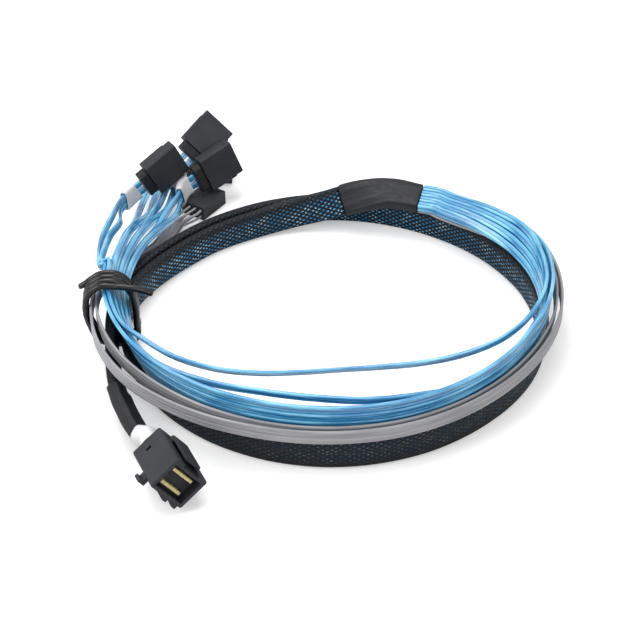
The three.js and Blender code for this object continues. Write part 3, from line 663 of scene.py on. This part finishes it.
materials = {
    "braid": braidMaterial(sleeveSettings["braid"]),
    "shrink": shrinkMaterial("shrunkSkin", "121316", 0.42),
    "lead": leadMaterial({
        "deep": "1a78ae", "pale": "79c4e6", "shade": "074a7a", "valley": 0.9, "girth": 6.4, "rough": 0.2,
    }),
    "ribbon": ribbonMaterial({"deep": "838387", "pale": "9b9b9f", "rough": 0.42}),
    "housing": mouldedMaterial("mouldedHousing", "26272b", "2e2f34", 0.48),
    "relief": mouldedMaterial("mouldedRelief", "161719", "1f2023", 0.5),
    "tie": mouldedMaterial("tieSkin", "050506", "0a0a0b", 0.16, grain=500.0, depth=0.00003, specular=0.4),
    "gold": goldMaterial(),
    "card": cardMaterial({"pale": "cfc28a", "deep": "b5a569", "scale": 900.0}),
    "label": labelMaterial({"pale": "d2d2d3", "grey": "bdbdc0"}),
}
print("materials made")


# sleeve and boots

# The rows of leads inside raise low ridges on the broad faces: cos(4 pi y / half the width).
def rowRidges(y, turn, s):
    return np.cos(4 * np.pi * y / (s["width"] / 2)) * (np.abs(np.cos(turn)) > s["flatShare"])


def bootSize(s):
    return s["thick"] + 2 * s["wall"] + s["bootEase"], s["width"] + 2 * s["wall"]


def addSleeve(s):
    start = s["bootLength"] + gap
    end = trunk.length - s["breakoutLength"] - gap
    distances = evenly(start, end, s["step"])
    x, y, turn = flatOutline(s["thick"], s["width"], s["around"])
    ridges = 1 + s["ridge"] * rowRidges(y, turn, s)
    waves = 1 + s["wave"] * np.sin(distances[:, None] * 2 * np.pi / s["waveLength"]) * np.sin(2 * turn)[None]
    grid = sectionGrid(trunk, distances, x * ridges * waves, y * np.ones_like(waves))
    piece = addTube("sleeve", grid, distances)
    finishPiece(piece, materials["braid"], "sleeve_braid", "braided_sleeve")
    return piece, distances


# A boot's outline grows a little where the leads press on it and draws in at both rims.
def addBoot(name, node, start, end, s, swell):
    distances, depth = roundedEnds(start, end, s["bootStep"], s["bootRim"])
    x, y, turn = flatOutline(*bootSize(s), s["around"])
    inset = 1 - s["rimDraw"] * depth[:, None]
    lumps = 1 + s["bootRidge"] * rowRidges(y, turn, s)
    folds = 1 + swell * np.sin(distances[:, None] * 2 * np.pi / s["foldLength"] + 2 * turn)
    piece = addTube(name, sectionGrid(trunk, distances, x * lumps * folds * inset, y * inset), distances)
    return finishPiece(piece, materials["shrink"], "boot_shrink", node)


sleeve, sleeveRun = addSleeve(sleeveSettings)
hostBoot = addBoot("hostBoot", "host_boot", 0, sleeveSettings["bootLength"], sleeveSettings, 0.02)
breakoutBoot = addBoot(
    "breakoutBoot", "breakout_boot", trunk.length - sleeveSettings["breakoutLength"], trunk.length,
    sleeveSettings, 0.015,
)
print("sleeve and boots:", round(trunk.length, 4), "m of trunk")


# blue leads

leadSettings = {
    "around": 20, "step": 1.6 * mm, "waist": 0.16, "flatness": 1.875, "power": 0.7,
    "rim": 0.2 * mm, "rimDraw": 0.1,
}
pathStep = 6 * mm                # between the points of a lead's or ribbon's declared path


# Two wires side by side: x is the flattened oval less a waist of (1 - (y/half)^2)^4 in its middle.
def addLead(plugIndex, side, s):
    route = leadRoute(plugIndex, side)
    distances, depth = roundedEnds(0, route.length, s["step"], s["rim"])
    x, y, _ = flatOutline(bundle["leadThick"], bundle["leadWidth"], s["around"], s["flatness"], s["power"])
    middle = (1 - (y / (bundle["leadWidth"] / 2)) ** 2) ** 4
    inset = 1 - s["rimDraw"] * depth[:, None]
    number = plugIndex * 2 + side + 1
    grid = sectionGrid(route, distances, x * (1 - s["waist"] * middle) * inset, y * inset)
    piece = addTube(f"blueLead{number}", grid, distances)
    finishPiece(piece, materials["lead"], "lead_blue", f"lead_{number}")
    path = route.at(evenly(0, route.length, pathStep))[0]
    return piece, route


leads = [addLead(plugIndex, side, leadSettings) for plugIndex in range(4) for side in (0, 1)]
print("leads:", [round(route.length, 3) for _, route in leads])


# grey ribbons, which part into single wires just behind the small plug

ribbonSettings = {
    "perWire": 8, "step": 1.6 * mm, "groove": 0.5, "roundness": 0.45,
    "partEarlier": 1.0 * mm,     # the flat strip stops this much before the wires part
    "wire": 0.92 * mm, "wireStep": 0.8 * mm, "wireSides": 10, "wireDepth": 0.4, "overlap": 1.5 * mm,
    "leave": 0.22, "arrive": 0.25, "bowOut": 0.15 * mm, "bowIn": 0.2 * mm,
}


# Four round-backed wires side by side: over each wire's pitch, half the thickness is multiplied by
# groove + (1 - groove) |sin|^roundness.
def ribbonOutline(s):
    half = bundle["wires"] * bundle["wirePitch"] / 2
    t = np.linspace(-1, 1, bundle["wires"] * s["perWire"] + 1)
    y = t * half
    scallop = np.abs(np.sin((y + half) / bundle["wirePitch"] * np.pi)) ** s["roundness"]
    x = bundle["ribbonThick"] / 2 * (s["groove"] + (1 - s["groove"]) * scallop)
    x[[0, -1]] = 0
    return np.concatenate([x, -x[-2:0:-1]]), np.concatenate([y, y[-2:0:-1]])


def addRibbon(index, s):
    route = ribbonRoute(index)
    end = route.length - ribbonEnd * mm - s["partEarlier"]
    distances = evenly(0, end, s["step"])
    x, y = ribbonOutline(s)
    piece = addTube(f"greyRibbon{index + 1}", sectionGrid(route, distances, x, y), distances)
    finishPiece(piece, materials["ribbon"], "ribbon_grey", f"ribbon_{index + 1}")
    wires = [addRibbonWire(index, column, route, end, s) for column in range(bundle["wires"])]
    path = route.at(evenly(0, end, pathStep))[0]
    return piece, route


# One wire goes on from its place in the ribbon to its socket, as a Catmull-Rom S. Whole-number
# remainders of its place bow it up or down by a few tenths of a millimetre.
def addRibbonWire(index, column, route, start, s):
    place, tangent, width = route.start(start - s["overlap"])[:3]
    fromMiddle = column - (bundle["wires"] - 1) / 2
    sign = (-1, 1)[index]
    fromPoint = place + width * fromMiddle * bundle["wirePitch"]
    depth = -plugSizes["sideLength"] + s["wireDepth"]
    intoPoint = inPlug(sidePlug, -fromMiddle * sidePitch, sign * sidePitch / 2, depth)
    mating = sidePlug["turn"][:, 2]
    reach = np.linalg.norm(intoPoint - fromPoint)
    bowOut = up * s["bowOut"] * ((column * 7 + index * 3) % 5 - 2)
    bowIn = up * s["bowIn"] * ((column * 5 + index) % 3 - 1)
    marks = np.array([
        fromPoint,
        fromPoint + tangent * s["leave"] * reach + bowOut,
        intoPoint - mating * s["arrive"] * reach + bowIn,
        intoPoint,
    ])
    wire = Route(marks, np.array([width] * 4))
    distances = evenly(0, wire.length, s["wireStep"])
    turn = np.arange(s["wireSides"]) * 2 * np.pi / s["wireSides"]
    grid = sectionGrid(wire, distances, np.cos(turn) * s["wire"] / 2, np.sin(turn) * s["wire"] / 2)
    piece = addTube(f"sideWire{index * 4 + column + 1}", grid, distances)
    return finishPiece(piece, materials["ribbon"], "ribbon_grey")


ribbons = [addRibbon(index, ribbonSettings) for index in (0, 1)]
print("ribbons:", [round(route.length, 3) for _, route in ribbons])

sleevePath = trunk.at(evenly(sleeveRun[0], sleeveRun[-1], sleeveSettings["pathStep"]))[0]


# labels

labelSettings = {
    "length": 8.0 * mm, "wall": 0.3 * mm, "ease": 0.45 * mm, "step": 1.0 * mm, "corner": 5,
    "setbacks": np.array([6, 2.5, 2.5, 11.5]) * mm,  # from each strain relief to its label
    "hostLength": 9.0 * mm, "hostCorner": 3.2, "sharpAngle": 0.7, "merge": 1e-7,
}


# A band round a route: an outer outline and the same outline drawn in by the wall, joined at both
# rims. At the angle a, the outline lies (|cos a|^n + |sin a|^n)^(-1/n) of the way to its half size.
def addBand(name, node, route, start, end, thick, width, corner, s, count=48):
    turn = np.arange(count) * 2 * np.pi / count

    def outline(x, y):
        c, s = np.cos(turn), np.sin(turn)
        reach = 1 / (np.abs(c) ** corner + np.abs(s) ** corner) ** (1 / corner)
        return c * reach * x / 2, s * reach * y / 2

    distances = evenly(start, end, s["step"])
    outerX, outerY = outline(thick + 2 * s["wall"], width + 2 * s["wall"])
    innerX, innerY = outline(thick, width)
    outer = sectionGrid(route, distances, outerX, outerY)
    inner = sectionGrid(route, distances, innerX, innerY)
    grid = np.concatenate([outer, inner[::-1], outer[:1]])
    along = np.concatenate([distances, distances[::-1], distances[:1]])
    piece = addTube(name, grid, along, ends=False)
    mergeRims(piece, s)
    return finishPiece(piece, materials["label"], "label_pale", node)


def mergeRims(piece, s):
    work = bmesh.new()
    work.from_mesh(piece.data)
    bmesh.ops.remove_doubles(work, verts=work.verts, dist=s["merge"])
    bmesh.ops.recalc_face_normals(work, faces=work.faces)
    for edge in work.edges:
        if len(edge.link_faces) == 2 and edge.calc_face_angle(0) > s["sharpAngle"]:
            edge.smooth = False
    work.to_mesh(piece.data)
    work.free()


def addLabels(s):
    for plugIndex in range(4):
        whole = Route(*pairRoute(plugIndex))
        route = Route(whole.places[1:], whole.widths[1:])
        end = route.length - s["setbacks"][plugIndex]
        thick = bundle["leadThick"] + 2 * s["ease"]
        width = plugSizes["leadSpread"] * mm + bundle["leadWidth"] + 2 * s["ease"]
        addBand(
            f"pairLabel{plugIndex + 1}", f"label_{plugIndex + 1}", route, end - s["length"], end,
            thick, width, s["corner"], s,
        )
    bootThick, bootWidth = bootSize(sleeveSettings)
    addBand(
        "hostLabel", "host_label", trunk, gap, gap + s["hostLength"],
        bootThick + 2 * s["ease"], bootWidth + 2 * s["ease"], s["hostCorner"], s,
    )


addLabels(labelSettings)
print("labels wrapped")


# wire tie, wound three times round everything; the wire's radius swells by 1 + crimp * sin

tieSettings = {
    "wire": 2.15, "pitch": 2.35, "turns": 3, "angle": 185.0,
    "extra": 5,                                # loop points wound past the last whole turn
    "step": 0.9 * mm, "rim": 0.8 * mm, "rimDraw": 0.75, "sides": 16,
    "crimp": 0.03, "crimpLength": 3.1 * mm,
    "loop": [
        [67.0, 8.4], [66.9, 14.4], [68.2, 21.6], [72.0, 25.6], [77.4, 26.0], [81.8, 22.4],
        [83.2, 16.4], [82.2, 9.4], [79.6, 3.2], [74.8, 1.35], [68.9, 1.4], [66.9, 4.2],
    ],
    "start": [[60.6, 22.4], [65.2, 24.6]],     # the free end on top, which points inwards
    "skipped": 3,                              # loop points that the free end stands for
    "stub": [[84.4, 21.0, 0.4], [85.4, 21.0, 0.2]],
}


def addTie(s):
    a = math.radians(s["angle"])
    outward = np.array([math.cos(a), math.sin(a), 0])
    forward = np.array([math.sin(a), -math.cos(a), 0])
    count = s["turns"] * len(s["loop"]) + s["extra"]
    first = -s["turns"] * s["pitch"] / 2
    rows = [[*s["loop"][i % len(s["loop"])], first + i * s["pitch"] / len(s["loop"])] for i in range(count)]
    rows = [[r, h, first] for r, h in s["start"]] + rows[s["skipped"]:]
    end = first + count * s["pitch"] / len(s["loop"])
    rows += [[r, h, end + extra] for r, h, extra in s["stub"]]
    rows = np.array(rows) * mm
    places = outward * rows[:, :1] + up * rows[:, 1:2] + forward * rows[:, 2:] + coilMiddle
    route = Route(places, np.array([forward] * len(places)))
    distances, depth = roundedEnds(0, route.length, s["step"], s["rim"])
    turn = np.arange(s["sides"]) * 2 * np.pi / s["sides"]
    inset = 1 - s["rimDraw"] * depth[:, None]
    crimps = 1 + s["crimp"] * np.sin(distances[:, None] * 2 * np.pi / s["crimpLength"])
    radius = s["wire"] * mm / 2 * inset * crimps
    grid = sectionGrid(route, distances, np.cos(turn) * radius, np.sin(turn) * radius)
    piece = addTube("wireTie", grid, distances)
    return finishPiece(piece, materials["tie"], "tie_wire", "wire_tie")


addTie(tieSettings)
print("tie wound")


# plugs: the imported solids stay, with eased edges and moulded finishes

plugFinishes = {
    "host_housing": ("housing", 0.22), "host_latch": ("housing", 0.18), "host_insert": ("relief", 0.1),
    "sideband_plug": ("housing", 0.18), "paddle_card": ("card", 0.06), "drive_plug": ("housing", 0.2),
    "drive_relief": ("relief", 0.25), "drive_contacts": ("gold", 0.04), "sideband_contact": ("gold", 0.0),
}


edgeSettings = {"merge": 1e-6, "flatAngle": 1, "sharpAngle": 32, "segments": 3}  # angles in degrees


def easeEdges(piece, width, s):
    weld = piece.modifiers.new("weld", "WELD")
    weld.merge_threshold = s["merge"]
    flat = piece.modifiers.new("flat", "DECIMATE")
    flat.decimate_type = "DISSOLVE"
    flat.angle_limit = math.radians(s["flatAngle"])
    bevel = piece.modifiers.new("bevel", "BEVEL")
    bevel.width = width * mm
    bevel.segments = s["segments"]
    bevel.limit_method = "ANGLE"
    bevel.angle_limit = math.radians(s["sharpAngle"])


def finishNode(name, piece):
    for start, (material, edge) in plugFinishes.items():
        if name.startswith(start):
            piece.data.materials.clear()
            piece.data.materials.append(materials[material])
            if edge:
                easeEdges(piece, edge, edgeSettings)
            return True
    return False


for nodeName, nodePiece in nodes.items():
    if not nodePiece.hide_render and not finishNode(nodeName, nodePiece):
        print("no finish for", nodeName)
print("plugs finished")


# floor, backdrop and light

stageSettings = {
    "floor": 3.0, "floorColour": (0.8, 0.8, 0.8), "floorRough": 0.9, "sink": 0.0002,
    "lift": 0.32,                # light that the camera alone sees on the floor
    "world": 0.5,
}


def addFloor(s):
    half = s["floor"] / 2
    mesh = bpy.data.meshes.new("floor")
    corners = ((-half, -half), (half, -half), (half, half), (-half, half))
    mesh.from_pydata([(x, y, -s["sink"]) for x, y in corners], [], [(0, 1, 2, 3)])
    floor = bpy.data.objects.new("floor", mesh)
    bpy.context.scene.collection.objects.link(floor)
    material = bpy.data.materials.new("paleFloor")
    material.use_nodes = True
    tree = material.node_tree
    shader = tree.nodes["Principled BSDF"]
    shader.inputs["Base Color"].default_value = (*s["floorColour"], 1)
    shader.inputs["Roughness"].default_value = s["floorRough"]
    shader.inputs["Specular IOR Level"].default_value = 0.0
    path = tree.nodes.new("ShaderNodeLightPath")
    glow = tree.nodes.new("ShaderNodeEmission")
    tree.links.new(path.outputs["Is Camera Ray"], glow.inputs["Strength"])
    glow.inputs["Color"].default_value = (s["lift"],) * 3 + (1,)
    add = tree.nodes.new("ShaderNodeAddShader")
    tree.links.new(shader.outputs[0], add.inputs[0])
    tree.links.new(glow.outputs[0], add.inputs[1])
    tree.links.new(add.outputs[0], tree.nodes["Material Output"].inputs["Surface"])
    mesh.materials.append(material)


def lightWorld(s):
    world = bpy.data.worlds.new("studio")
    world.use_nodes = True
    bpy.context.scene.world = world
    tree = world.node_tree
    plain = tree.nodes["Background"]
    plain.inputs["Color"].default_value = (1, 1, 1, 1)
    plain.inputs["Strength"].default_value = s["world"]
    seen = tree.nodes.new("ShaderNodeBackground")
    seen.inputs["Color"].default_value = (1, 1, 1, 1)
    seen.inputs["Strength"].default_value = 1.0
    path = tree.nodes.new("ShaderNodeLightPath")
    total = path.outputs["Is Camera Ray"]
    for ray in ("Is Glossy Ray", "Is Transmission Ray"):
        larger = tree.nodes.new("ShaderNodeMath")
        larger.operation = "MAXIMUM"
        tree.links.new(total, larger.inputs[0])
        tree.links.new(path.outputs[ray], larger.inputs[1])
        total = larger.outputs[0]
    mix = tree.nodes.new("ShaderNodeMixShader")
    tree.links.new(total, mix.inputs[0])
    tree.links.new(plain.outputs[0], mix.inputs[1])
    tree.links.new(seen.outputs[0], mix.inputs[2])
    tree.links.new(mix.outputs[0], tree.nodes["World Output"].inputs["Surface"])


lamps = [
    {"name": "overhead", "at": (-0.15, 0.15, 0.9), "size": 0.7, "watts": 7.0},
    {"name": "left", "at": (-0.8, -0.3, 0.5), "size": 0.5, "watts": 4.0},
    {"name": "front", "at": (0.4, -0.8, 0.6), "size": 0.6, "watts": 3.0},
]


def addLamp(s):
    data = bpy.data.lights.new(s["name"], "AREA")
    data.shape = "SQUARE"
    data.size = s["size"]
    data.energy = s["watts"]
    lamp = bpy.data.objects.new(s["name"], data)
    lamp.location = s["at"]
    lamp.rotation_euler = (-Vector(s["at"])).to_track_quat("-Z", "Y").to_euler()
    bpy.context.scene.collection.objects.link(lamp)


addFloor(stageSettings)
lightWorld(stageSettings)
for lampSettings in lamps:
    addLamp(lampSettings)
bpy.context.scene.view_settings.view_transform = "Standard"
print("stage lit")
